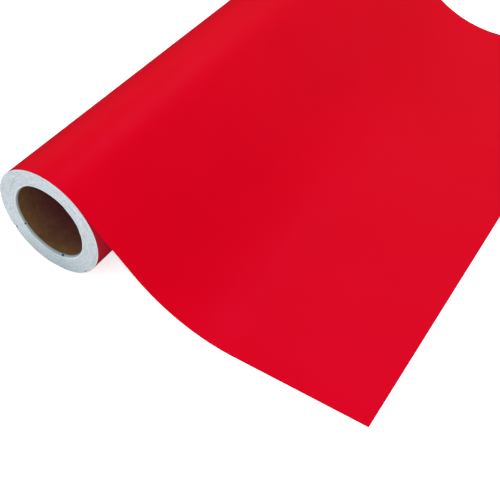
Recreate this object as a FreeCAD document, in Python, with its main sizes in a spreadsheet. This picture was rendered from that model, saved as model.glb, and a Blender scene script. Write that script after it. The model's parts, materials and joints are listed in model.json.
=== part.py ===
import FreeCAD, Part
import math
import os

import Sketcher
from FreeCAD import Placement, Rotation, Vector

# A part-used roll of sign vinyl, with its free end run out over a table.
#
# The web is two layers: red PVC film (with its adhesive coat) on a paper release liner.
# It is wound film side out on a spiral-wound board core.
# The origin is the middle of the core's bore. +Y runs along the roll, +X is the way the web
# leaves it, +Z is up, and the table lies roll_radius below the origin.

SIZES = {
    # the web
    "web_width": 610.0,
    "liner_thickness": 0.15,
    "film_thickness": 0.10,
    # the board core: plies glued one over another, with a worn bevel at each mouth
    "bore_radius": 38.1,
    "ply_thickness": 0.6,
    "bevel_depth": 2.8,
    # the three tabs of tape that hold the web's inner end on the core
    "tape_thickness": 0.06,
    "tape_angle": 34.0,
    "tape_length": 38.0,
    "tape_spacing": 230.0,
    # the wound pack, and the last lap that stays still while the roll turns inside it
    "roll_radius": 56.45,
    "lap_clearance": 0.3,
    "lap_end_angle": 259.0,
    # where the web leaves the roll, how far it runs straight, and where it is cut
    "leave_angle": 45.0,
    "ramp_length": 76.0,
    "flap_start": 240.0,
    "peel_start": 274.0,
    "cut_edge": 324.5,
    # the slit between two lengths of web that move apart
    "slit": 0.3,
}

CORE_PLIES = 7
BEVELLED_PLIES = 3

# Sizes that follow from the driving ones, as the sheet's own expressions
CORE_RADIUS = f"(Sizes.bore_radius + {CORE_PLIES} * Sizes.ply_thickness)"
WEB_THICKNESS = "(Sizes.liner_thickness + Sizes.film_thickness)"
FIRST_TURN_RADIUS = f"({CORE_RADIUS} + Sizes.tape_thickness)"
LAP_RADIUS = "(Sizes.roll_radius + Sizes.lap_clearance)"
LAP_OUTER_RADIUS = f"({LAP_RADIUS} + {WEB_THICKNESS})"
LEAVE_ANGLE = "(Sizes.leave_angle * 1 deg)"
TABLE_HEIGHT = "(-Sizes.roll_radius)"
# The bend that lays the web flat is the arc that meets both the ramp and the table.
BEND_RADIUS = (
    f"(({LAP_OUTER_RADIUS} * sin({LEAVE_ANGLE}) - Sizes.ramp_length * cos({LEAVE_ANGLE})"
    f" + Sizes.roll_radius - {WEB_THICKNESS}) / (1 - sin({LEAVE_ANGLE})))"
)
BEND_CENTRE_X = (
    f"(({LAP_OUTER_RADIUS} + {BEND_RADIUS}) * cos({LEAVE_ANGLE})"
    f" + Sizes.ramp_length * sin({LEAVE_ANGLE}))"
)
BEND_CENTRE_Z = (
    f"(({LAP_OUTER_RADIUS} + {BEND_RADIUS}) * sin({LEAVE_ANGLE})"
    f" - Sizes.ramp_length * cos({LEAVE_ANGLE}))"
)

document = FreeCAD.newDocument("SignVinylRoll")
sheet = document.addObject("Spreadsheet::Sheet", "Sizes")
pieces = []


def fill_sheet():
    """Write the driving sizes into the sheet, one named cell each."""
    for row, (alias, size) in enumerate(SIZES.items(), start=1):
        sheet.set(f"A{row}", alias)
        sheet.set(f"B{row}", str(size))
        sheet.setAlias(f"B{row}", alias)
    document.recompute()


def value(expression):
    """The number that an expression of the sheet's cells comes to."""
    result = sheet.evalExpression(expression)
    return float(getattr(result, "Value", result))


def new_body(name):
    """A PartDesign body that becomes one piece."""
    body = document.addObject("PartDesign::Body", name)
    body.Label = name
    pieces.append(body)
    return body


def new_sketch(body, role):
    """A sketch on one of the body's own origin planes."""
    sketch = body.newObject("Sketcher::SketchObject", body.Name + "_profile")
    plane = next(item for item in body.Origin.OriginFeatures if item.Role == role)
    sketch.AttachmentSupport = [(plane, "")]
    sketch.MapMode = "FlatFace"
    return sketch


def join(sketch, *ends):
    """Make pairs of sketch points coincide, each given as (curve, end, curve, end)."""
    for end in ends:
        sketch.addConstraint(Sketcher.Constraint("Coincident", *end))


def dimension(sketch, name, expression, kind, *where):
    """Add a sketch dimension and bind it to an expression."""
    number = value(expression)
    index = sketch.addConstraint(Sketcher.Constraint(kind, *where, number))
    sketch.renameConstraint(index, name)
    sketch.setExpression(f"Constraints.{name}", expression)


def ring(name, inner, outer, inner_length, outer_length, angle="360"):
    """A tube round the Y axis. Its ends slope when its two lengths differ."""
    body = new_body(name)
    sketch = new_sketch(body, "XY_Plane")
    half_in = value(inner_length) / 2
    half_out = value(outer_length) / 2
    corners = [
        Vector(value(inner), -half_in, 0),
        Vector(value(outer), -half_out, 0),
        Vector(value(outer), half_out, 0),
        Vector(value(inner), half_in, 0),
    ]
    for start, end in zip(corners, corners[1:] + corners[:1]):
        sketch.addGeometry(Part.LineSegment(start, end))
    join(sketch, (0, 2, 1, 1), (1, 2, 2, 1), (2, 2, 3, 1), (3, 2, 0, 1))
    sketch.addConstraint(Sketcher.Constraint("Symmetric", 3, 1, 3, 2, -1))
    sketch.addConstraint(Sketcher.Constraint("Symmetric", 1, 1, 1, 2, -1))
    dimension(sketch, "inner_radius", inner, "DistanceX", -1, 1, 0, 1)
    dimension(sketch, "outer_radius", outer, "DistanceX", -1, 1, 0, 2)
    dimension(sketch, "inner_length", inner_length, "DistanceY", 3, 2, 3, 1)
    dimension(sketch, "outer_length", outer_length, "DistanceY", 1, 1, 1, 2)
    turn = body.newObject("PartDesign::Revolution", name + "_turn")
    turn.Profile = sketch
    turn.ReferenceAxis = (sketch, ["V_Axis"])
    turn.setExpression("Angle", angle)
    body.Tip = turn


def core_ply(number):
    """One ply of the board core. The innermost few are cut back by the bevel."""
    names = {1: "core_inner_ply", CORE_PLIES: "core_outer_ply"}
    inner = f"(Sizes.bore_radius + {number - 1} * Sizes.ply_thickness)"
    outer = f"(Sizes.bore_radius + {number} * Sizes.ply_thickness)"
    inner_length = "Sizes.web_width"
    outer_length = "Sizes.web_width"
    slope = f"Sizes.bevel_depth / {BEVELLED_PLIES}"
    if number <= BEVELLED_PLIES:
        inner_length += f" - 2 * {BEVELLED_PLIES + 1 - number} * {slope}"
        outer_length += f" - 2 * {BEVELLED_PLIES - number} * {slope}"
    ring(names.get(number, f"core_ply_{number}"), inner, outer, inner_length, outer_length)


def wound_web():
    """The web on the core: its first turn, the pack of turns over it, and its last turn."""
    width = "Sizes.web_width"
    first_liner = f"({FIRST_TURN_RADIUS} + Sizes.liner_thickness)"
    first_film = f"({FIRST_TURN_RADIUS} + {WEB_THICKNESS})"
    last_liner = f"(Sizes.roll_radius - {WEB_THICKNESS})"
    last_film = "(Sizes.roll_radius - Sizes.film_thickness)"
    for place, side in {"near": -1, "middle": 0, "far": 1}.items():
        tab = "Sizes.tape_length"
        ring(f"start_tape_{place}", CORE_RADIUS, FIRST_TURN_RADIUS, tab, tab, "Sizes.tape_angle")
        pieces[-1].setExpression("Placement.Base.y", f"{side} * Sizes.tape_spacing")
    ring("first_turn_liner", FIRST_TURN_RADIUS, first_liner, width, width)
    ring("first_turn_film", first_liner, first_film, width, width)
    ring("wound_turns", first_film, last_liner, width, width)
    ring("last_turn_liner", last_liner, last_film, width, width)
    ring("last_turn_film", last_film, "Sizes.roll_radius", width, width)


def leaving_layer(name, inner_depth, outer_depth):
    """One layer of the web from its outer lap, down the ramp, to where it lies flat.

    The depths are measured from the lap's inner surface to the layer's two surfaces.
    """
    body = new_body(name)
    sketch = new_sketch(body, "XZ_Plane")
    leave = math.radians(value("Sizes.leave_angle"))
    lap_end = math.radians(value("Sizes.lap_end_angle"))
    out = Vector(math.cos(leave), math.sin(leave), 0)
    down = Vector(math.sin(leave), -math.cos(leave), 0)
    centre = Vector(value(BEND_CENTRE_X), value(BEND_CENTRE_Z), 0)
    normal = Vector(0, 0, 1)
    lap_radii = [f"({LAP_RADIUS} + {depth})" for depth in (outer_depth, inner_depth)]
    bend_radii = [
        f"({BEND_RADIUS} + {WEB_THICKNESS} - {depth})" for depth in (outer_depth, inner_depth)
    ]
    ramp = down * value("Sizes.ramp_length")
    straight = math.radians(180) + leave
    flat = math.radians(270)
    # curves 0 and 1: the lap's two surfaces
    for radius in lap_radii:
        circle = Part.Circle(Vector(0, 0, 0), normal, value(radius))
        sketch.addGeometry(Part.ArcOfCircle(circle, leave, lap_end))
    # curves 2 and 3: the ramp's
    for radius in lap_radii:
        top = out * value(radius)
        sketch.addGeometry(Part.LineSegment(top, top + ramp))
    # curves 4 and 5: the bend's
    for radius in bend_radii:
        circle = Part.Circle(centre, normal, value(radius))
        sketch.addGeometry(Part.ArcOfCircle(circle, straight, flat))
    # curve 6 closes the lap's end and curve 7 the flat end
    end_way = Vector(math.cos(lap_end), math.sin(lap_end), 0)
    lap_ends = [end_way * value(radius) for radius in lap_radii]
    flat_ends = [centre - Vector(0, value(radius), 0) for radius in bend_radii]
    sketch.addGeometry(Part.LineSegment(lap_ends[1], lap_ends[0]))
    sketch.addGeometry(Part.LineSegment(flat_ends[1], flat_ends[0]))

    join(sketch, (0, 3, -1, 1), (1, 3, -1, 1), (5, 3, 4, 3))
    join(sketch, (0, 2, 6, 2), (1, 2, 6, 1), (4, 2, 7, 2), (5, 2, 7, 1))
    for pair in ((0, 1, 2, 1), (1, 1, 3, 1), (2, 2, 4, 1), (3, 2, 5, 1)):
        sketch.addConstraint(Sketcher.Constraint("Tangent", *pair))
    for arc in (4, 5):
        sketch.addConstraint(Sketcher.Constraint("Vertical", arc, 2, arc, 3))
    sketch.addConstraint(Sketcher.Constraint("PointOnObject", -1, 1, 6))
    dimension(sketch, "lap_outer_radius", lap_radii[0], "Radius", 0)
    dimension(sketch, "lap_inner_radius", lap_radii[1], "Radius", 1)
    dimension(sketch, "bend_outer_radius", bend_radii[0], "Radius", 4)
    dimension(sketch, "bend_inner_radius", bend_radii[1], "Radius", 5)
    dimension(sketch, "bend_centre_x", BEND_CENTRE_X, "DistanceX", -1, 1, 4, 3)
    dimension(sketch, "bend_centre_z", BEND_CENTRE_Z, "DistanceY", -1, 1, 4, 3)
    index = sketch.addConstraint(Sketcher.Constraint("Angle", 6, lap_end))
    sketch.renameConstraint(index, "lap_end_angle")
    sketch.setExpression("Constraints.lap_end_angle", "Sizes.lap_end_angle * 1 deg")
    pad = body.newObject("PartDesign::Pad", name + "_width")
    pad.Profile = sketch
    pad.SideType = "Symmetric"
    pad.setExpression("Length", "Sizes.web_width")
    body.Tip = pad


def flat_layer(name, start, end, bottom, thickness):
    """One layer of a length of web that lies flat, from start to end along X."""
    box = document.addObject("Part::Box", name)
    box.Label = name
    box.setExpression("Length", f"{end} - {start}")
    box.setExpression("Width", "Sizes.web_width")
    box.setExpression("Height", thickness)
    box.Placement = Placement(Vector(0, 0, 0), Rotation())
    box.setExpression("Placement.Base.x", start)
    box.setExpression("Placement.Base.y", "-Sizes.web_width / 2")
    box.setExpression("Placement.Base.z", bottom)
    pieces.append(box)


def flat_web():
    """The web on the table: a lead, a flap that lifts, and the film's end that peels."""
    lead_start = f"({BEND_CENTRE_X} + Sizes.slit)"
    flap_start = "(Sizes.flap_start + Sizes.slit)"
    peel_start = "(Sizes.peel_start + Sizes.slit)"
    film_bottom = f"({TABLE_HEIGHT} + Sizes.liner_thickness)"
    liner = (TABLE_HEIGHT, "Sizes.liner_thickness")
    film = (film_bottom, "Sizes.film_thickness")
    flat_layer("lead_liner", lead_start, "Sizes.flap_start", *liner)
    flat_layer("lead_film", lead_start, "Sizes.flap_start", *film)
    flat_layer("flap_liner", flap_start, "Sizes.cut_edge", *liner)
    flat_layer("flap_film", flap_start, "Sizes.peel_start", *film)
    flat_layer("peel_film", peel_start, "Sizes.cut_edge", *film)


def check():
    """Stop if any object failed, any piece isn't sound, or any sketch is left loose."""
    for item in document.Objects:
        if "Invalid" in item.State or "Error" in item.State:
            raise RuntimeError(f"{item.Name} failed: {item.State}")
        if item.TypeId == "Sketcher::SketchObject" and item.solve() != 0:
            raise RuntimeError(f"{item.Name} has a sketch that doesn't solve")
    for piece in pieces:
        shape = piece.Shape
        if shape.isNull() or not shape.isValid() or len(shape.Solids) != 1:
            raise RuntimeError(f"{piece.Label} is not one sound solid")


def write():
    """Write each piece's solid to its own file."""
    os.makedirs("parts", exist_ok=True)
    for piece in pieces:
        piece.Shape.exportStep(f"parts/{piece.Label}.step")
        box = piece.Shape.BoundBox
        print(f"{piece.Label}: {piece.Shape.Volume:.0f} mm3, x {box.XMin:.2f} to {box.XMax:.2f},"
              f" z {box.ZMin:.2f} to {box.ZMax:.2f}")


fill_sheet()
for number in range(1, CORE_PLIES + 1):
    core_ply(number)
wound_web()
leaving_layer("outer_lap_liner", "0", "Sizes.liner_thickness")
leaving_layer("outer_lap_film", "Sizes.liner_thickness", WEB_THICKNESS)
flat_web()
document.recompute()
check()
write()
print("bend radius", round(value(BEND_RADIUS), 2), "flat from x", round(value(BEND_CENTRE_X), 2))
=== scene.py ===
import json
import math

import bmesh
import bpy
import numpy as np
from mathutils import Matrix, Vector, noise


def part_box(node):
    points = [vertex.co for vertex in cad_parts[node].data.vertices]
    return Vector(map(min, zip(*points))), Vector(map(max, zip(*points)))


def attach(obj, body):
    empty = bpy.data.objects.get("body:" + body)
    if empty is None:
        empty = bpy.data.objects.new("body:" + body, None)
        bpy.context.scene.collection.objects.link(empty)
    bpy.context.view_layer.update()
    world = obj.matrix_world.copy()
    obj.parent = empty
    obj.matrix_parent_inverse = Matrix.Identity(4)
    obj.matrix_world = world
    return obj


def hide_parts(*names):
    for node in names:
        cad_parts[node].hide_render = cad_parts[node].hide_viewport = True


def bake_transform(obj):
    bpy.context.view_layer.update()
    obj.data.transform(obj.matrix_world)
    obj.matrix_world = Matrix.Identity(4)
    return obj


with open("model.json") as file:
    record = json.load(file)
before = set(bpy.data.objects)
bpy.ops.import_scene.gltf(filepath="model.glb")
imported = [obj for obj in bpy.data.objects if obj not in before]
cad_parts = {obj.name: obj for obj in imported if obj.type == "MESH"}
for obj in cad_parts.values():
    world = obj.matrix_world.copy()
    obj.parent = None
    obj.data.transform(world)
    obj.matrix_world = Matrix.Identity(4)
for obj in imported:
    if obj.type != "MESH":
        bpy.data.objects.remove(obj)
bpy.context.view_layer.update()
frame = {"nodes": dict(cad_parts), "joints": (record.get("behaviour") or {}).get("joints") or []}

# ---------------------------------------------------------------- sizes, in metres
# They come from the frame. The web is a film on a paper liner, wound film side out.

MM = 0.001
HALF_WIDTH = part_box("lead_liner")[1].y
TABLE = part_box("lead_liner")[0].z
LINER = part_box("lead_film")[0].z - TABLE
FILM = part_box("lead_film")[1].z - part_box("lead_film")[0].z
WEB = LINER + FILM
CUT_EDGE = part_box("flap_liner")[1].x
BEND_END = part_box("outer_lap_film")[1].x
ROLL_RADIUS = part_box("last_turn_film")[1].x
FIRST_TURN_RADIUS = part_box("start_tape_middle")[1].x
CORE_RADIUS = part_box("core_outer_ply")[1].x
PLIES = 7
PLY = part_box("core_ply_3")[1].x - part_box("core_ply_2")[1].x
BORE_RADIUS = CORE_RADIUS - PLIES * PLY
BEVELLED_PLIES = 3
# The inner ply's longest side is a ply short of the bevel's full depth.
BEVEL_DEPTH = ((HALF_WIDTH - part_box("core_inner_ply")[1].y)
               * BEVELLED_PLIES / (BEVELLED_PLIES - 1))
BEVEL_RADIUS = BORE_RADIUS + BEVELLED_PLIES * PLY
# The bevel is cut by hand, and is this much narrower at its sides.
BEVEL_UNEVEN = 0.7 * (BEVEL_RADIUS - BORE_RADIUS)
HINGE_X = {j["name"]: j["pos_m"][0] for j in frame["joints"] if j["type"] == "hinge"}
FLAP_HINGE = HINGE_X["lead_lift"]
PEEL_HINGE = HINGE_X["film_peel"]

# The outer lap hugs the turning roll, and the web leaves it at LEAVE for the table.
LAP_GAP = 0.05 * MM
LAP_RADIUS = ROLL_RADIUS + LAP_GAP
LEAVE = math.radians(45)
LAP_END = math.radians(259)
# The pieces of web meet where the web is flat and both of them move alike.
LEAD_SPLIT = (BEND_END + FLAP_HINGE) / 2
PEEL_SPLIT = PEEL_HINGE - 5 * MM

# The core's strips of board: the seam is between a strip's own turns, the glue between plies.
STRIP_WIDTH = 118 * MM
STRIP_SEAM = 0.35 * MM
GLUE_LINE = 0.01 * MM
# The sawn-off strip ends in a tip that is at least this wide.
SHARPEST_TIP = 0.3 * MM
# The two ends of a turn that is cut from the spiral lie this far apart.
TURN_GAP = 0.3 * MM
# Layers of web lie this far apart, so that no two faces are in one place.
LAYER_GAP = 0.004 * MM
# How far the film's slit edge is drawn back behind the liner's.
DRAWN_BACK = 0.07 * MM
# A turn's rings of points, in shares of the turn: the liner's crest lies between the first two.
TURN_STEPS = (0.0, 0.52, 0.76)
# The paper has dried a little narrower than the film it carries.
LINER_SHRINK = 0.15 * MM

# Points round a circle, and spaces between points across the web and across a strip of board.
CIRCLE = 240
WEB_COLUMNS = 62
STRIP_COLUMNS = 4

# Knocks in the ends' edges: (end, angle in degrees, radius, half width, depth).
NICKS = [
    (-1, -148.5, ROLL_RADIUS - 0.6 * MM, 1.7 * MM, 1.3 * MM),
    (-1, -150.5, BORE_RADIUS + 0.6 * MM, 0.9 * MM, 0.9 * MM),
    (-1, -79.0, BORE_RADIUS + 0.9 * MM, 1.4 * MM, 1.0 * MM),
    (-1, -51.0, ROLL_RADIUS - 0.3 * MM, 1.0 * MM, 0.7 * MM),
    (-1, 118.0, ROLL_RADIUS - 3 * MM, 0.5 * MM, 0.5 * MM),
    (1, 35.0, ROLL_RADIUS, 0.9 * MM, 1.2 * MM),
]
# The side towards which the roll's ends are painted greyer, as painted shade.
SHADED_SIDE = math.radians(-100)


# ---------------------------------------------------------------- mesh helpers

def mesh_piece(name, points, faces, groups, materials, sharp=35.0):
    """A closed mesh. groups gives each face's material, and edges over sharp degrees stay sharp."""
    mesh = bpy.data.meshes.new(name)
    mesh.from_pydata([tuple(p) for p in points], [], faces)
    for item in materials:
        mesh.materials.append(item)
    mesh.polygons.foreach_set("material_index", groups)
    same_place = 1e-7
    shaped = bmesh.new()
    shaped.from_mesh(mesh)
    bmesh.ops.remove_doubles(shaped, verts=shaped.verts, dist=same_place)
    bmesh.ops.dissolve_degenerate(shaped, dist=same_place, edges=shaped.edges)
    bmesh.ops.recalc_face_normals(shaped, faces=shaped.faces)
    shaped.to_mesh(mesh)
    shaped.free()
    mesh.shade_smooth()
    mesh.set_sharp_from_angle(angle=math.radians(sharp))
    piece = bpy.data.objects.new(name, mesh)
    bpy.context.scene.collection.objects.link(piece)
    return piece


def strip_solid(name, lower, upper, materials):
    """A thin closed solid between two grids of points, each shaped (rows, columns, 3).

    The materials are those of its upper face, its lower face and its edges.
    """
    rows, columns = lower.shape[:2]
    points = np.concatenate([lower.reshape(-1, 3), upper.reshape(-1, 3)])
    top = rows * columns
    faces, groups = [], []

    def quad(group, *corners):
        faces.append(corners)
        groups.append(group)

    for i in range(rows - 1):
        for j in range(columns - 1):
            a = i * columns + j
            b = a + columns
            quad(0, top + a, top + b, top + b + 1, top + a + 1)
            quad(1, a, a + 1, b + 1, b)
    for i in range(rows - 1):
        for a in (i * columns, i * columns + columns - 1):
            quad(2, a, a + columns, top + a + columns, top + a)
    for j in range(columns - 1):
        for a in (j, (rows - 1) * columns + j):
            quad(2, a, a + 1, top + a + 1, top + a)
    return mesh_piece(name, points, faces, groups, materials)


def wave(*at):
    """Smooth noise from -1 to 1 at a place, the same on every run."""
    return noise.noise(Vector(at))


def nick(end, angle, radius):
    """How deep the knocks go at a place on one end of the roll. They are longer along a radius."""
    squeeze = 0.6
    deep = 0.0
    for at_end, degrees, at_radius, size, depth in NICKS:
        if at_end != end:
            continue
        off = (angle - math.radians(degrees) + math.pi) % math.tau - math.pi
        far = ((off * radius) ** 2 + (squeeze * (radius - at_radius)) ** 2) / size ** 2
        deep += depth * math.exp(-far)
    return deep


def end_face(end, radius, angle):
    """Where an end of the roll lies along Y: flat, but for the core's bevel."""
    edge = BEVEL_RADIUS - BEVEL_UNEVEN * math.cos(angle) ** 2
    return end * (HALF_WIDTH - max(0.0, (edge - radius) / (edge - BORE_RADIUS)) * BEVEL_DEPTH)


# ---------------------------------------------------------------- materials

class Paint:
    """A node material: paint.node(kind, settings, input=value or socket) adds one node."""

    def __init__(self, name):
        self.material = bpy.data.materials.new(name)
        self.material.use_nodes = True
        self.tree = self.material.node_tree
        self.shader = self.tree.nodes["Principled BSDF"]
        self.place = self.tree.nodes.new("ShaderNodeTexCoord").outputs["Object"]

    def node(self, kind, settings=None, **inputs):
        made = self.tree.nodes.new("ShaderNode" + kind)
        for key, setting in (settings or {}).items():
            setattr(made, key, setting)
        for key, source in inputs.items():
            self.feed(made.inputs[key.replace("_", " ")], source)
        return made

    def feed(self, socket, source):
        if isinstance(source, bpy.types.NodeSocket):
            self.tree.links.new(source, socket)
        else:
            socket.default_value = source

    def noise(self, scale, detail=2.0, stretch=None, at=None):
        """Noise from 0 to 1. Where stretch is under 1 along an axis, the noise is drawn out."""
        at = at or self.place
        if stretch:
            at = self.node("Mapping", Vector=at, Scale=stretch).outputs[0]
        return self.node("TexNoise", Vector=at, Scale=scale, Detail=detail).outputs["Fac"]

    def between(self, amount, low, high, from_low=0.3, from_high=0.7):
        """A number that runs from low to high as amount goes from from_low to from_high."""
        return self.node("MapRange", Value=amount, From_Min=from_low, From_Max=from_high,
                         To_Min=low, To_Max=high).outputs[0]

    def mix(self, amount, first, second, way="MIX"):
        """A colour from first to second. The Mix node's colours are its sockets 6, 7 and 2."""
        made = self.node("Mix", {"data_type": "RGBA", "blend_type": way}, Factor=amount)
        self.feed(made.inputs[6], first)
        self.feed(made.inputs[7], second)
        return made.outputs[2]

    def maths(self, way, first, second=0.0):
        made = self.node("Math", {"operation": way})
        self.feed(made.inputs[0], first)
        self.feed(made.inputs[1], second)
        return made.outputs[0]

    def bump(self, height, distance, strength=1.0, over=None):
        made = self.node("Bump", Height=height, Distance=distance, Strength=strength)
        if over:
            self.feed(made.inputs["Normal"], over)
        return made.outputs[0]

    def place_with(self, way, vector):
        """Vector maths on the point's place and a fixed vector."""
        made = self.node("VectorMath", {"operation": way})
        self.feed(made.inputs[0], self.place)
        self.feed(made.inputs[1], vector)
        return made.outputs

    def axes(self):
        """The point's X, Y and Z."""
        return self.node("SeparateXYZ", Vector=self.place).outputs

    def radius(self):
        """How far a point is from the roll's axis."""
        flat = self.place_with("MULTIPLY", (1, 0, 1))["Vector"]
        return self.node("VectorMath", {"operation": "LENGTH"}, Vector=flat).outputs["Value"]

    def painted_end_shade(self, colour):
        """The ends' painted shade over a colour: painted greyer towards one side, and painted dark
        in the knocks.
        """
        # Painted shade: the ends are painted greyer towards their lower side.
        down = (math.cos(SHADED_SIDE), 0, math.sin(SHADED_SIDE))
        low = self.place_with("DOT_PRODUCT", down)["Value"]
        grey = self.between(low, 0, 1, 28 * MM, 52 * MM)
        colour = self.mix(grey, colour, (0.74, 0.81, 0.82, 1), "MULTIPLY")
        # Painted shade: each knock is painted dark teal, as the shade inside it.
        for end, degrees, radius, size, depth in NICKS:
            angle = math.radians(degrees)
            middle = end_face(end, radius, angle) - end * depth / 2
            knock = (radius * math.cos(angle), middle, radius * math.sin(angle))
            away = self.place_with("DISTANCE", knock)["Value"]
            knock_shade = self.between(away, 1, 0, 0.8 * size, 1.4 * size)
            colour = self.mix(knock_shade, colour, (0.012, 0.080, 0.105, 1))
        return colour

    def finish(self, **inputs):
        for key, source in inputs.items():
            self.feed(self.shader.inputs[key.replace("_", " ")], source)
        return self.material


def vinyl_film(name, low, high):
    """Red calendered PVC: a soft even gloss, faint orange peel and long faint rolling lines."""
    paint = Paint(name)
    tone = paint.between(paint.noise(7, 3), 0, 1)
    colour = paint.mix(tone, low, high)
    lines = paint.noise(60, 2, stretch=(0.06, 1, 0.06))
    rough = paint.between(lines, 0.34, 0.42)
    peel = paint.bump(paint.noise(850, 1), 0.02 * MM, 0.5)
    slow = paint.bump(paint.noise(22, 1, stretch=(1, 0.5, 1)), 0.6 * MM, 0.35, over=peel)
    return paint.finish(Base_Color=colour, Roughness=rough, Normal=slow, IOR=1.45,
                        Specular_Tint=(1.0, 0.05, 0.8, 1), Specular_IOR_Level=0.045)


def adhesive():
    """The film's sticky back: a paler red with an uneven, tacky gloss."""
    paint = Paint("adhesive")
    tone = paint.between(paint.noise(40, 4), 0, 1)
    colour = paint.mix(tone, (0.42, 0.05, 0.06, 1), (0.50, 0.075, 0.085, 1))
    rough = paint.between(paint.noise(260, 2), 0.22, 0.5)
    bump = paint.bump(paint.noise(420, 2), 0.03 * MM, 0.6)
    return paint.finish(Base_Color=colour, Roughness=rough, Normal=bump)


def release_liner():
    """White coated paper with faint fibres."""
    paint = Paint("release_liner")
    cloud = paint.between(paint.noise(35, 3), 0, 1)
    fibre = paint.between(paint.noise(900, 3, stretch=(1, 0.25, 1)), 0, 0.25)
    colour = paint.mix(cloud, (0.72, 0.76, 0.78, 1), (0.80, 0.83, 0.85, 1))
    colour = paint.mix(fibre, colour, (0.62, 0.66, 0.68, 1))
    bump = paint.bump(paint.noise(700, 2), 0.03 * MM, 0.5)
    rough = paint.between(paint.noise(120, 2), 0.42, 0.55)
    return paint.finish(Base_Color=colour, Roughness=rough, Normal=bump)


def slit_edge(name, dark, light):
    """The slit edges of the wound layers, mottled, with streaks that follow the turns, a painted
    highlight along the outer rim and the ends' painted shade.
    """
    paint = Paint(name)
    radius, axes = paint.radius(), paint.axes()
    # The radius counts 12 times as much, so that the noise is drawn out round the roll.
    around = paint.node("CombineXYZ", X=paint.maths("MULTIPLY", radius, 12.0),
                        Y=axes["X"], Z=axes["Z"]).outputs[0]
    streaks = paint.noise(70, 3, at=around)
    mottle = paint.noise(850, 3)
    amount = paint.maths("ADD", paint.between(streaks, 0, 0.5), paint.between(mottle, 0, 0.5))
    colour = paint.mix(amount, dark, light)
    specks = paint.between(paint.noise(330, 1), 0, 0.5, 0.64, 0.74)
    colour = paint.mix(specks, colour, (0.34, 0.41, 0.44, 1))
    # Painted highlight: a pale line along the roll's outer rim.
    rim_highlight = paint.between(radius, 0, 0.8, ROLL_RADIUS - 1.5 * MM, ROLL_RADIUS)
    colour = paint.mix(rim_highlight, colour, (0.80, 0.92, 0.95, 1))
    bump = paint.bump(paint.noise(1100, 2), 0.05 * MM, 0.6)
    return paint.finish(Base_Color=paint.painted_end_shade(colour), Roughness=0.62, Normal=bump)


def grey_board():
    """Grey recycled board: the bevel's raw cut is painted darker inwards as painted shade, and its
    rim has a painted highlight.
    """
    paint = Paint("grey_board")
    fleck = paint.between(paint.noise(1300, 4), 0, 0.5)
    cloud = paint.between(paint.noise(480, 3), 0, 1)
    colour = paint.mix(cloud, (0.53, 0.60, 0.63, 1), (0.66, 0.73, 0.76, 1))
    colour = paint.mix(fleck, colour, (0.40, 0.43, 0.45, 1))
    # How far a point is outside the bevel's edge, as in end_face.
    radius, axes = paint.radius(), paint.axes()
    cosine = paint.maths("DIVIDE", axes["X"], radius)
    sideways = paint.maths("MULTIPLY", cosine, cosine)
    narrower = paint.maths("MULTIPLY", sideways, BEVEL_UNEVEN)
    from_edge = paint.maths("ADD", paint.maths("SUBTRACT", radius, BEVEL_RADIUS), narrower)
    # Painted highlight: a pale line along the bevel's outer edge.
    rim_highlight = paint.between(from_edge, 0.75, 0, 0.2 * MM, 0.9 * MM)
    colour = paint.mix(rim_highlight, colour, (0.88, 0.96, 0.98, 1))
    # Painted shade: the bevel's raw cut is painted darker the deeper it lies in the bore.
    along = paint.maths("ABSOLUTE", axes["Y"])
    depth = paint.between(along, 1, 0, HALF_WIDTH - BEVEL_DEPTH, HALF_WIDTH)
    cut = paint.mix(depth, (0.60, 0.70, 0.73, 1), (0.24, 0.30, 0.32, 1))
    cut = paint.mix(paint.between(cloud, 0, 0.3, 0, 1), cut, (0.30, 0.36, 0.38, 1))
    raw = paint.between(from_edge, 1, 0, -0.15 * MM, 0.05 * MM)
    colour = paint.painted_end_shade(paint.mix(raw, colour, cut))
    bump = paint.bump(paint.noise(900, 3), 0.08 * MM, 0.7)
    return paint.finish(Base_Color=colour, Roughness=0.85, Normal=bump)


def kraft_board():
    """Brown kraft paper that lines the bore, with fibres and blots, and painted light near its
    mouths.
    """
    paint = Paint("kraft_board")
    fibre = paint.between(paint.noise(420, 4, stretch=(1, 0.6, 1)), 0, 1)
    blot = paint.between(paint.noise(130, 3), 0, 0.45)
    colour = paint.mix(fibre, (0.160, 0.037, 0.044, 1), (0.222, 0.052, 0.061, 1))
    # Painted light: the bore is painted paler and yellower near its mouths, where light reaches in.
    along = paint.maths("ABSOLUTE", paint.axes()["Y"])
    mouth_light_amount = paint.between(along, 0, 1, HALF_WIDTH - 40 * MM, HALF_WIDTH)
    mouth_painted_light = paint.mix(fibre, (0.143, 0.081, 0.019, 1), (0.207, 0.117, 0.028, 1))
    colour = paint.mix(mouth_light_amount, colour, mouth_painted_light)
    colour = paint.mix(blot, colour, (0.100, 0.035, 0.028, 1))
    bump = paint.bump(paint.noise(600, 3, stretch=(1, 0.4, 1)), 0.06 * MM, 0.7)
    return paint.finish(Base_Color=colour, Roughness=0.8, Specular_IOR_Level=0.2, Normal=bump)


def masking_tape():
    """Cream crepe paper tape, creased across its length."""
    paint = Paint("masking_tape")
    crease = paint.noise(1500, 2, stretch=(1, 0.15, 1))
    colour = paint.mix(paint.between(crease, 0, 1), (0.62, 0.50, 0.30, 1), (0.75, 0.64, 0.42, 1))
    return paint.finish(Base_Color=colour, Roughness=0.7, Normal=paint.bump(crease, 0.1 * MM))


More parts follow.
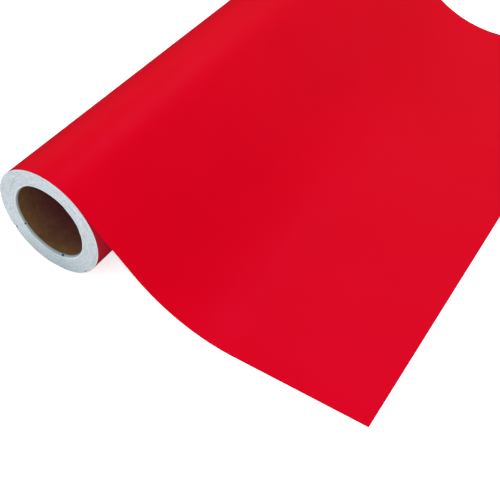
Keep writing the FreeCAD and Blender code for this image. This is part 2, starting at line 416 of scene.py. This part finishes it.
def studio_floor():
    """A plain pale floor with barely any tone, which is brightened for the camera alone."""
    paint = Paint("studio_floor")
    colour = paint.mix(paint.noise(3, 2), (0.93, 0.93, 0.93, 1), (0.95, 0.95, 0.95, 1))
    seen = paint.node("LightPath").outputs["Is Camera Ray"]
    return paint.finish(Base_Color=colour, Roughness=0.9, Specular_IOR_Level=0.1,
                        Emission_Color=(1, 1, 1, 1),
                        Emission_Strength=paint.maths("MULTIPLY", seen, 0.7))


FILM_RED = vinyl_film("vinyl_film", (0.580, 0.0003, 0.0088, 1), (0.604, 0.0005, 0.0102, 1))
# The turn below the outer lap is duller: a painted reflection of the pale floor and liner, mixed
# into its red.
FILM_PAINTED_REFLECTION = vinyl_film("film_painted_reflection", (0.558, 0.0115, 0.0288, 1), (0.595, 0.0142, 0.033, 1))
ADHESIVE = adhesive()
PAPER = release_liner()
PAPER_EDGE = slit_edge("liner_edge", (0.46, 0.53, 0.57, 1), (0.86, 0.94, 0.98, 1))
FILM_EDGE = slit_edge("film_edge", (0.40, 0.44, 0.47, 1), (0.70, 0.74, 0.78, 1))
BOARD = grey_board()
KRAFT = kraft_board()
TAPE = masking_tape()


# ---------------------------------------------------------------- the core

def end_raggedness(seed, angle):
    """How far a sawn edge wanders from flat, all round a ring."""
    loops = 2.2
    return 0.05 * MM * wave(loops * math.cos(angle), loops * math.sin(angle), seed)


class Helix:
    """The path of one ply's strip of board, and the turns of it that lie on the core."""

    def __init__(self, number):
        self.inner = BORE_RADIUS + (number - 1) * PLY
        self.outer = self.inner + PLY - GLUE_LINE
        round_it = math.tau * (self.inner + PLY / 2)
        self.pitch = STRIP_WIDTH / math.sqrt(1 - (STRIP_WIDTH / round_it) ** 2)
        # the seams of neighbouring plies are staggered
        self.shift = (0.37 * number % 1) * self.pitch
        self.half_strip = (self.pitch - STRIP_SEAM) / 2
        first = (-HALF_WIDTH - self.half_strip - self.shift) / self.pitch
        last = (HALF_WIDTH + self.half_strip - self.shift) / self.pitch
        steps = math.ceil((last - first) * CIRCLE)
        self.turns = [t for t in np.linspace(first, last, steps + 1) if self.is_on_core(t)]

    def is_on_core(self, turn):
        """Whether the saw leaves more of the strip's width here than the sharpest tip's."""
        nearest = abs(self.pitch * turn + self.shift) - self.half_strip
        return nearest < end_face(1, self.inner, math.tau * turn) - SHARPEST_TIP


def core_ply(number):
    """One ply: a strip of board wound in a helix, sawn off flat at both ends of the core."""
    helix = Helix(number)
    near_seed, far_seed = number, number + 20
    across = np.linspace(-helix.half_strip, helix.half_strip, STRIP_COLUMNS + 1)
    sides = []
    for radius in (helix.inner, helix.outer):
        grid = np.empty((len(helix.turns), len(across), 3))
        for i, turn in enumerate(helix.turns):
            angle = math.tau * turn
            near = (end_face(-1, radius, angle) - end_raggedness(near_seed, angle)
                    + nick(-1, angle, radius))
            far = (end_face(1, radius, angle) + end_raggedness(far_seed, angle)
                   - nick(1, angle, radius))
            grid[i, :, 0] = radius * math.cos(angle)
            grid[i, :, 1] = np.clip(helix.pitch * turn + helix.shift + across, near, far)
            grid[i, :, 2] = radius * math.sin(angle)
        sides.append(grid)
    names = {1: "core_inner_ply", PLIES: "core_outer_ply"}
    node = names.get(number, f"core_ply_{number}")
    bore_side = KRAFT if number == 1 else BOARD
    piece = strip_solid(f"{node}_strip", sides[0], sides[1], [BOARD, bore_side, BOARD])
    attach(piece, "roll")
    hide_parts(node)


# ---------------------------------------------------------------- the wound web

def weave(turns, end):
    """How far the web's slit edge stands out after so many turns, at one end of the roll.

    It wanders slowly, over about 5 turns, and a little from each turn to the next.
    """
    slow = 0.13 * wave(turns / 4.7, 3.1 * end, 0.5)
    quick = 0.05 * wave(turns * 1.9, 7.7 * end, 2.5)
    return (slow + quick) * MM


def end_height(end, radius, angle):
    """Where the roll's end face lies along Y, at a radius and an angle."""
    turns = (radius - FIRST_TURN_RADIUS) / WEB
    return end * (HALF_WIDTH + weave(turns, end) - nick(end, angle, radius))


def turn_strip(node, inner, thickness, materials, growth=0.0):
    """One turn of one layer of the web, as an open strip that spirals outwards by growth."""
    turn = math.tau - TURN_GAP / inner
    sides = []
    for base in (inner, inner + thickness - LAYER_GAP):
        grid = np.empty((CIRCLE + 1, 2, 3))
        for i in range(CIRCLE + 1):
            share = i / CIRCLE
            angle = LAP_END - turn * share
            radius = base - growth * (1 - share)
            for j, end in enumerate((-1, 1)):
                grid[i, j] = (radius * math.cos(angle), end_height(end, radius, angle),
                              radius * math.sin(angle))
        sides.append(grid)
    piece = strip_solid(f"{node}_strip", sides[0], sides[1], materials)
    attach(piece, "roll")
    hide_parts(node)


def first_and_last_turns():
    """The turn on the core and the turn under the outer lap, each as liner and film."""
    film = [FILM_PAINTED_REFLECTION, ADHESIVE, FILM_EDGE]
    liner = [PAPER, PAPER, PAPER_EDGE]
    first, last = FIRST_TURN_RADIUS, ROLL_RADIUS - WEB
    # only the last turn has room to spiral
    growth = 0.9 * WEB
    turn_strip("first_turn_liner", first, LINER, liner)
    turn_strip("first_turn_film", first + LINER, FILM, film)
    turn_strip("last_turn_liner", last, LINER, liner, growth)
    turn_strip("last_turn_film", last + LINER, FILM, film, growth)


class Pack:
    """The pack of turns: a ring whose two ends show every turn of the spiral.

    Each turn is a flat crest, the liner's edge, and a trough, where the softer film's edge
    is drawn back. A ring of points that goes once round ends one turn further in.
    """

    def __init__(self):
        self.inner = FIRST_TURN_RADIUS + WEB
        self.outer = ROLL_RADIUS - 2 * WEB
        self.per_turn = len(TURN_STEPS)
        turns = math.ceil((self.outer - self.inner) / WEB)
        self.rings = range(-self.per_turn, turns * self.per_turn + 1)
        by_knocks = {math.radians(degrees) % math.tau + math.radians(0.4 * k)
                     for _, degrees, *_ in NICKS for k in range(-4, 5)}
        evenly = {math.tau * i / CIRCLE for i in range(CIRCLE)}
        self.angles = sorted(evenly | by_knocks)

    def radius(self, ring, angle):
        """A ring's radius at an angle. The pack's round inside and outside cut the spiral off."""
        turn = ring // self.per_turn + TURN_STEPS[ring % self.per_turn] - angle / math.tau + 1
        radius = min(max(self.inner + WEB * turn, self.inner), self.outer)
        too_thin = 0.01 * MM
        return self.inner if radius - self.inner < too_thin else radius

    def points(self):
        """The points of both ends, in the order that point() counts them in."""
        made = []
        for angle in self.angles:
            for end in (-1, 1):
                for ring in self.rings:
                    radius = self.radius(ring, angle)
                    is_trough = (ring % self.per_turn == self.per_turn - 1
                                 and self.inner < radius < self.outer)
                    trough = DRAWN_BACK if is_trough else 0.0
                    y = end_height(end, radius, angle) - end * trough
                    made.append((radius * math.cos(angle), y, radius * math.sin(angle)))
        return made

    def point(self, step, end, ring):
        """A point's number. Past the full circle the rings move in by one turn."""
        if step == len(self.angles):
            step, ring = 0, ring - self.per_turn
        size = len(self.rings)
        return (step * 2 + end) * size + min(max(ring, 0), size - 1)

    def faces(self):
        """The faces of both ends and of the inside and outside, and their materials' numbers."""
        faces, groups = [], []
        last = len(self.rings) - 1
        for step in range(len(self.angles)):
            for end in (0, 1):
                for ring in range(last):
                    faces.append((self.point(step, end, ring), self.point(step, end, ring + 1),
                                  self.point(step + 1, end, ring + 1),
                                  self.point(step + 1, end, ring)))
                    groups.append(0 if ring % self.per_turn == 0 else 1)
            for ring in (0, last):
                faces.append((self.point(step, 0, ring), self.point(step, 1, ring),
                              self.point(step + 1, 1, ring), self.point(step + 1, 0, ring)))
                groups.append(0)
        return faces, groups


def wound_turns():
    """The pack of turns, as one piece with the edges of liner and film on its ends."""
    pack = Pack()
    faces, groups = pack.faces()
    piece = mesh_piece("wound_turns_pack", pack.points(), faces, groups,
                       [PAPER_EDGE, FILM_EDGE], sharp=60.0)
    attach(piece, "roll")
    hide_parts("wound_turns")


# ---------------------------------------------------------------- the leaving web

class WebPath:
    """The web's underside: round the lap, down the ramp, round the bend and along the table."""

    def __init__(self):
        self.lap = LAP_RADIUS * (LAP_END - LEAVE)
        # the ramp's line touches the lap, and the bend's arc touches the ramp and the table
        slope, top = math.sin(LEAVE), TABLE + WEB
        lap_top = LAP_RADIUS + WEB
        ramp_and_bend = BEND_END / slope - lap_top
        self.bend_top = ((ramp_and_bend - lap_top) * slope + top) / (2 * slope - 1)
        self.ramp = ramp_and_bend - self.bend_top
        self.centre = Vector((BEND_END, top + self.bend_top))
        self.bend = (self.bend_top + WEB) * (math.pi / 2 - LEAVE)

    def length_to(self, x):
        """How far along the web a place on the table is."""
        return self.lap + self.ramp + self.bend + x - self.centre.x

    def at(self, s, depth):
        """The place s along the web and depth above its underside, as (x, z)."""
        if s <= self.lap:
            angle = LAP_END - s / LAP_RADIUS
            radius = LAP_RADIUS + depth
            return radius * math.cos(angle), radius * math.sin(angle)
        rise, run = math.sin(LEAVE), math.cos(LEAVE)
        s -= self.lap
        if s <= self.ramp:
            radius = LAP_RADIUS + depth
            return radius * run + s * rise, radius * rise - s * run
        s -= self.ramp
        if s <= self.bend:
            angle = math.pi + LEAVE + s / (self.bend_top + WEB)
            radius = self.bend_top + WEB - depth
            return (self.centre.x + radius * math.cos(angle),
                    self.centre.y + radius * math.sin(angle))
        return self.centre.x + s - self.bend, TABLE + depth


PATH = WebPath()


def ripple(s, y):
    """How far the loose web lifts off its smooth path. It dies away where it hugs the roll."""
    off_roll = min(max((s - PATH.lap) / PATH.ramp, 0.0), 1.0)
    off_roll = off_roll * off_roll * (3 - 2 * off_roll)
    broad = 0.5 + 0.5 * wave(s * 9, y * 6, 0.7)
    fine = 0.5 + 0.5 * wave(s * 28, y * 17, 5.3)
    return off_roll * (0.35 * broad + 0.10 * fine) * MM


def stations(start, end):
    """The places along the web at which a piece has rows of points."""
    places = {start, end}
    lap_steps = round(CIRCLE * (LAP_END - LEAVE) / math.tau)
    for low, high, steps in (
        (0.0, PATH.lap, lap_steps),
        (PATH.lap, PATH.lap + PATH.ramp, 24),
        (PATH.lap + PATH.ramp, PATH.lap + PATH.ramp + PATH.bend, 48),
        (PATH.length_to(PATH.centre.x), PATH.length_to(CUT_EDGE), 56),
    ):
        places |= set(np.linspace(low, high, steps + 1))
    closest = 0.2 * MM
    kept = sorted(p for p in places if start <= p <= end)
    spaced = [kept[0]]
    for place in kept[1:]:
        if place - spaced[-1] > closest:
            spaced.append(place)
    spaced[-1] = end
    return spaced


def web_piece(name, start, end, low, high, materials, slot, *nodes):
    """A length of one layer of the web, from start to end along it and from low to high in it."""
    rows = stations(start, end)
    half = HALF_WIDTH - (LINER_SHRINK if low == 0 else 0)
    sides = []
    for depth in (low, high):
        grid = np.empty((len(rows), WEB_COLUMNS + 1, 3))
        for i, s in enumerate(rows):
            x, z = PATH.at(s, depth)
            above_x, above_z = PATH.at(s, depth + MM)
            way_x, way_z = (above_x - x) / MM, (above_z - z) / MM
            for j in range(WEB_COLUMNS + 1):
                y = half * (2 * j / WEB_COLUMNS - 1)
                lift = ripple(s, y)
                grid[i, j] = (x + way_x * lift, y, z + way_z * lift)
            if s < PATH.lap:
                grid[i, 0, 1] += nick(-1, math.atan2(z, x), LAP_RADIUS)
        sides.append(grid)
    piece = strip_solid(name, sides[0], sides[1], materials)
    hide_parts(*nodes)
    return piece


def bend_between(piece):
    """Bake a piece of web's place into its mesh."""
    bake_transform(piece)


def leaving_web():
    """The free web, in lengths: film on top, liner below."""
    lead = PATH.length_to(LEAD_SPLIT)
    peel = PATH.length_to(PEEL_SPLIT)
    cut = PATH.length_to(CUT_EDGE)
    film = [FILM_RED, ADHESIVE, FILM_RED]
    liner = [PAPER, PAPER, PAPER_EDGE]

    piece = web_piece("leaving_liner", 0, lead, 0, LINER, liner, "release_liner",
                      "outer_lap_liner", "lead_liner")
    bend_between(piece)
    piece = web_piece("leaving_film", 0, lead, LINER, WEB, film, "vinyl_film",
                      "outer_lap_film", "lead_film")
    bend_between(piece)
    piece = web_piece("free_end_liner", lead, cut, 0, LINER, liner, "release_liner",
                      "flap_liner")
    bend_between(piece)
    piece = web_piece("free_end_film", lead, peel, LINER, WEB, film, "vinyl_film",
                      "flap_film")
    bend_between(piece)
    piece = web_piece("peeling_film", peel, cut, LINER, WEB, film, "vinyl_film",
                      "peel_film")
    bend_between(piece)


# ---------------------------------------------------------------- stage, light and camera

def floor():
    """A plain pale floor just under the web, hidden from glossy rays."""
    bpy.ops.mesh.primitive_plane_add(size=12, location=(0, 0, TABLE - 0.02 * MM))
    plane = bpy.context.object
    plane.name = "studio_floor"
    plane.data.materials.append(studio_floor())
    plane.visible_glossy = False


def room():
    """An even white room, hidden from glossy rays."""
    world = bpy.data.worlds.new("studio_room")
    world.use_nodes = True
    background = world.node_tree.nodes["Background"].inputs
    background["Color"].default_value = (0.97, 0.99, 1.0, 1)
    background["Strength"].default_value = 1.03
    world.cycles_visibility.glossy = False
    bpy.context.scene.world = world
    bpy.context.scene.view_settings.view_transform = "Standard"


def lamps():
    """Two soft square lamps that point at the roll."""
    for name, place, size, power in (
        ("key", (-0.1, 1.0, 1.95), 0.9, 12),
        ("fill", (0.2, -1.8, 1.2), 1.4, 4),
    ):
        data = bpy.data.lights.new(name, "AREA")
        data.size = size
        data.energy = power
        lamp = bpy.data.objects.new(name, data)
        lamp.location = place
        lamp.rotation_euler = (-Vector(place)).to_track_quat("-Z", "Y").to_euler()
        bpy.context.scene.collection.objects.link(lamp)


def camera():
    """The camera, placed from the middle of the roll's near end."""
    azimuth, elevation = math.radians(32.60), math.radians(45.785)
    from_near_end = Vector((0.4384, -0.3525, 0.5137))
    data = bpy.data.cameras.new("camera")
    data.lens = 59.87
    eye = bpy.data.objects.new("camera", data)
    back = Vector((math.sin(azimuth) * math.cos(elevation),
                   -math.cos(azimuth) * math.cos(elevation), math.sin(elevation)))
    eye.location = from_near_end - Vector((0, HALF_WIDTH, 0))
    eye.rotation_mode = "QUATERNION"
    eye.rotation_quaternion = (-back).to_track_quat("-Z", "Y")
    bpy.context.scene.collection.objects.link(eye)
    bpy.context.scene.camera = eye


def tape_tabs():
    """The tabs of tape under the first turn keep their CAD shape."""
    for place in ("near", "middle", "far"):
        slots = frame["nodes"][f"start_tape_{place}"].data.materials
        slots.clear()
        slots.append(TAPE)


floor()
room()
lamps()
camera()
for number in range(1, PLIES + 1):
    core_ply(number)
wound_turns()
first_and_last_turns()
leaving_web()
tape_tabs()
